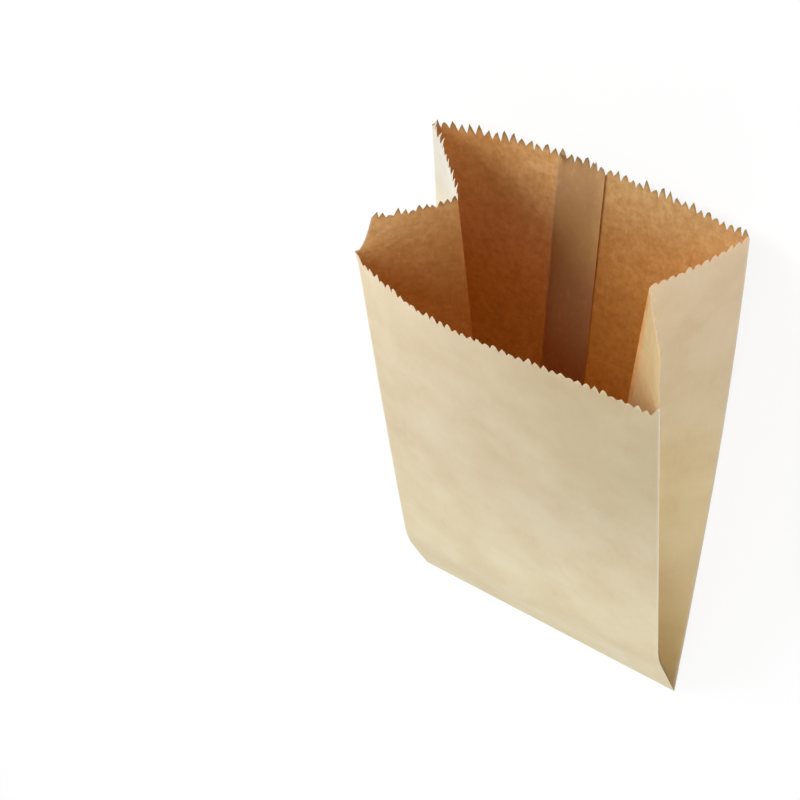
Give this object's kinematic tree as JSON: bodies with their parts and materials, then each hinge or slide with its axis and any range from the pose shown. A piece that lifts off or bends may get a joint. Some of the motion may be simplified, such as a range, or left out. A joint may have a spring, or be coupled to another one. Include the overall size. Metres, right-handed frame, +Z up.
{
  "type": "paper lunch bag",
  "caption": "Opened gusseted brown paper lunch bag with a pinched bottom fold, a lower-cut front lip and a zigzag-cut mouth, lying on its back panel.",
  "frame": {"origin": "middle of the bag's box, on the ground under the back panel", "axes": "+X across the bag, +Y from the bottom fold to the mouth, +Z up from the back panel to the front panel"},
  "size_m": [0.1809, 0.3401, 0.0955],
  "materials": {
    "kraft_paper": "matt unbleached kraft paper, pale outside in the light and warm brown inside"
  },
  "bodies": {
    "root": {"paper_bag": "kraft_paper"}
  },
  "joints": []
}
